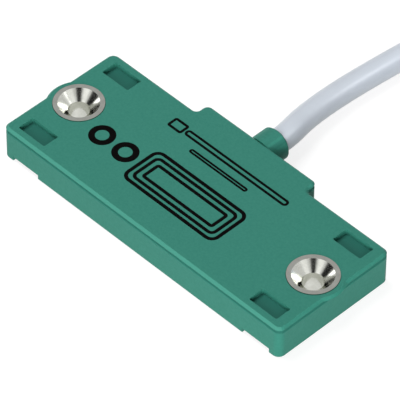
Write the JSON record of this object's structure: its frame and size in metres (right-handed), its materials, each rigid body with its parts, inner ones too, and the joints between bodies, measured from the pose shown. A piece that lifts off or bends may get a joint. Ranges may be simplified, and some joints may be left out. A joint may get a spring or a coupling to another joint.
{
  "type": "capacitive proximity sensor",
  "caption": "Flat moulded block that senses nearby material through its top face; screw bushings at its ends fix it and a round cable leaves its long side.",
  "frame": {"origin": "midway between the two screw holes, on the flat mounting face", "axes": "+X along the housing through both holes, +Y towards the cable exit, +Z out of the sensing face"},
  "size_m": [0.0974, 0.1037, 0.0152],
  "materials": {
    "pbt_housing": "moulded, fine satin",
    "turned_bushing": "turned, bright countersink",
    "board_laminate": "lacquered glass laminate",
    "copper_foil": "etched foil",
    "chip_epoxy": "moulded epoxy",
    "chip_ceramic": "fired ceramic",
    "solder": "bright fillet",
    "clamp_metal": "crimped ring",
    "seal_resin": "cast resin",
    "cable_jacket": "extruded, satin",
    "core_brown": "extruded",
    "core_black": "extruded",
    "core_blue": "extruded"
  },
  "bodies": {
    "root": {"housing_tray": "pbt_housing", "housing_cover": "pbt_housing", "bushing_left": "turned_bushing", "bushing_right": "turned_bushing", "circuit_board": "board_laminate", "sensing_electrode": "copper_foil", "guard_electrode": "copper_foil", "ground_electrode": "copper_foil", "sensor_chip": "chip_epoxy", "voltage_regulator": "chip_epoxy", "output_transistor": "chip_epoxy", "polarity_diode": "chip_epoxy", "suppressor_diode": "chip_epoxy", "smoothing_capacitor": "chip_ceramic", "chip_capacitors": "chip_ceramic", "chip_resistors": "chip_epoxy", "solder_joints": "solder", "cable_inside": "cable_jacket", "cable_clamp": "clamp_metal", "cable_seal": "seal_resin", "lead_brown": "core_brown", "lead_black": "core_black", "lead_blue": "core_blue", "cable_run": "cable_jacket", "cable_coil": "cable_jacket", "cable_tail": "cable_jacket", "core_end_brown": "core_brown", "core_end_black": "core_black", "core_end_blue": "core_blue"}
  },
  "joints": []
}
